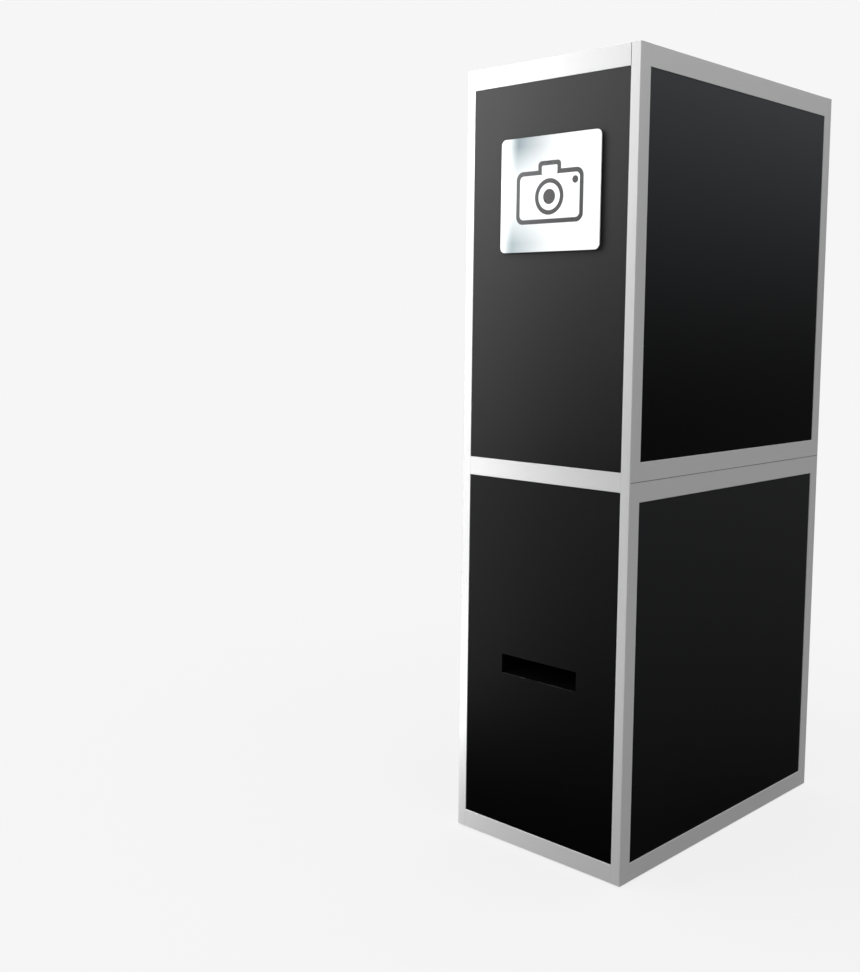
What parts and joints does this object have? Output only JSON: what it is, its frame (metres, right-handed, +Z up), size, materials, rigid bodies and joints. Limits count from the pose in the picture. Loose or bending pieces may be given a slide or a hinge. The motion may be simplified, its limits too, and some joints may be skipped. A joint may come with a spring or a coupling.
{
  "type": "photo booth tower",
  "caption": "Free-standing photo booth tower of two stacked framed modules with black panels, a name plate, a print slot, a camera side and hinged service doors.",
  "frame": {"origin": "middle of the footprint, on the floor", "axes": "+Z up; -Y the narrow face with the name plate and print slot; +Y the narrow face with the service doors; -X the wide face that looks at the guests; +X the plain wide face"},
  "size_m": [0.53, 0.9656, 2],
  "materials": {
    "anodised_frame": "satin anodised extrusion",
    "black_panel": "satin black laminate sheet",
    "floor_ply": "birch plywood, oiled",
    "name_plate_metal": "fine brushed, bright",
    "inlay_black": "glossy inlay",
    "spacer_metal": "turned",
    "hinge_steel": "stainless, brushed",
    "lock_chrome": "plated",
    "plug_nylon": "moulded nylon",
    "dowel_steel": "zinc plated",
    "foot_rubber": "moulded rubber",
    "chute_paint": "matt black folded sheet",
    "printer_shell": "fine texture",
    "print_paper": "coated photo paper",
    "window_glass": "clear, lightly smoked",
    "screen_glass": "dark touch glass",
    "screen_shell": "moulded",
    "opal_diffuser": "opal acrylic",
    "led_tray": "mill finish",
    "camera_shell": "textured camera body",
    "lens_coating": "coated glass",
    "ring_rubber": "ribbed grip",
    "button_metal": "satin chrome",
    "computer_paint": "textured case",
    "fan_plastic": "glass-filled plastic",
    "inlet_plastic": "moulded",
    "rocker_plastic": "moulded, translucent red"
  },
  "bodies": {
    "lower_module": {"lower_posts": "anodised_frame", "lower_side_rails": "anodised_frame", "lower_end_rails": "anodised_frame", "lower_post_plugs": "plug_nylon", "locating_dowels": "dowel_steel", "base_feet": "foot_rubber", "lower_floor_panel": "floor_ply", "lower_deck_panel": "black_panel", "lower_left_panel": "black_panel", "lower_right_panel": "black_panel", "lower_front_panel": "black_panel", "print_chute": "chute_paint", "lower_shelf_ledges": "dowel_steel", "printer_shelf": "floor_ply", "printer_case": "printer_shell", "lower_hinge_frame_leaves": "hinge_steel", "lower_hinge_pins": "hinge_steel", "power_inlet": "inlet_plastic"},
    "lower_door": {"lower_door_panel": "black_panel", "lower_hinge_door_leaves": "hinge_steel", "lower_lock_body": "lock_chrome"},
    "lower_lock": {"lower_lock_cam": "lock_chrome"},
    "feed_roller": {"printer_feed_roller": "foot_rubber"},
    "paper_roll": {"printer_paper_roll": "print_paper"},
    "mains_switch": {"power_rocker": "rocker_plastic"},
    "upper_module": {"upper_posts": "anodised_frame", "upper_side_rails": "anodised_frame", "upper_end_rails": "anodised_frame", "upper_post_plugs": "plug_nylon", "upper_floor_panel": "floor_ply", "roof_panel": "black_panel", "upper_right_panel": "black_panel", "upper_front_panel": "black_panel", "name_plate": "name_plate_metal", "name_plate_pictogram": "inlay_black", "name_plate_spacers": "spacer_metal", "camera_fascia": "black_panel", "camera_window": "window_glass", "screen_glass": "screen_glass", "screen_housing": "screen_shell", "light_diffusers": "opal_diffuser", "led_panels": "led_tray", "upper_shelf_ledges": "dowel_steel", "camera_shelf": "floor_ply", "camera_stand": "dowel_steel", "booth_computer": "computer_paint", "upper_hinge_frame_leaves": "hinge_steel", "upper_hinge_pins": "hinge_steel"},
    "upper_door": {"upper_door_panel": "black_panel", "upper_hinge_door_leaves": "hinge_steel", "upper_lock_body": "lock_chrome", "fan_frame": "fan_plastic"},
    "upper_lock": {"upper_lock_cam": "lock_chrome"},
    "fan_rotor": {"fan_impeller": "fan_plastic"},
    "camera": {"camera_tilt_cradle": "dowel_steel", "camera_body": "camera_shell", "lens_barrel": "camera_shell", "lens_glass": "lens_coating"},
    "zoom_ring": {"zoom_ring": "ring_rubber"},
    "shutter_button": {"shutter_button": "button_metal"}
  },
  "joints": [
    {"name": "module_lift", "type": "slide", "parent": "lower_module", "child": "upper_module", "axis": [0, 0, 1], "range_m": [0, 0.06]},
    {"name": "lower_door_hinge", "type": "hinge", "parent": "lower_module", "child": "lower_door", "pos_m": [-0.238, 0.47905, 0.50575], "axis": [0, 0, 1], "range_deg": [0, 110]},
    {"name": "upper_door_hinge", "type": "hinge", "parent": "upper_module", "child": "upper_door", "pos_m": [-0.238, 0.47905, 1.47825], "axis": [0, 0, 1], "range_deg": [0, 110]},
    {"name": "lower_lock_turn", "type": "hinge", "parent": "lower_door", "child": "lower_lock", "pos_m": [0.205, 0.4605, 0.50575], "axis": [0, 1, 0], "range_deg": [0, 90]},
    {"name": "upper_lock_turn", "type": "hinge", "parent": "upper_door", "child": "upper_lock", "pos_m": [0.205, 0.4605, 1.47825], "axis": [0, 1, 0], "range_deg": [0, 90]},
    {"name": "paper_roll_spin", "type": "hinge", "parent": "lower_module", "child": "paper_roll", "pos_m": [0, -0.0605, 0.484], "axis": [1, 0, 0], "continuous": true},
    {"name": "feed_roller_spin", "type": "hinge", "parent": "lower_module", "child": "feed_roller", "pos_m": [0, -0.3105, 0.489], "axis": [1, 0, 0], "continuous": true},
    {"name": "mains_switch_rock", "type": "hinge", "parent": "lower_module", "child": "mains_switch", "pos_m": [0.166, 0.472, 0.0305], "axis": [1, 0, 0], "range_deg": [0, 16]},
    {"name": "fan_spin", "type": "hinge", "parent": "upper_door", "child": "fan_rotor", "pos_m": [0, 0.4505, 1.798], "axis": [0, 1, 0], "continuous": true},
    {"name": "camera_tilt", "type": "hinge", "parent": "upper_module", "child": "camera", "pos_m": [-0.1135, 0, 1.466], "axis": [0, 1, 0], "range_deg": [-12, 12]},
    {"name": "zoom_ring_turn", "type": "hinge", "parent": "camera", "child": "zoom_ring", "pos_m": [-0.1825, 0, 1.53], "axis": [1, 0, 0], "range_deg": [0, 70]},
    {"name": "shutter_press", "type": "slide", "parent": "camera", "child": "shutter_button", "axis": [0, 0, -1], "range_m": [0, 0.0015], "stiffness_N_per_m": 800}
  ],
  "couplings": [
    {"joint": "feed_roller_spin", "follows": "paper_roll_spin", "ratio": 5.7778}
  ]
}
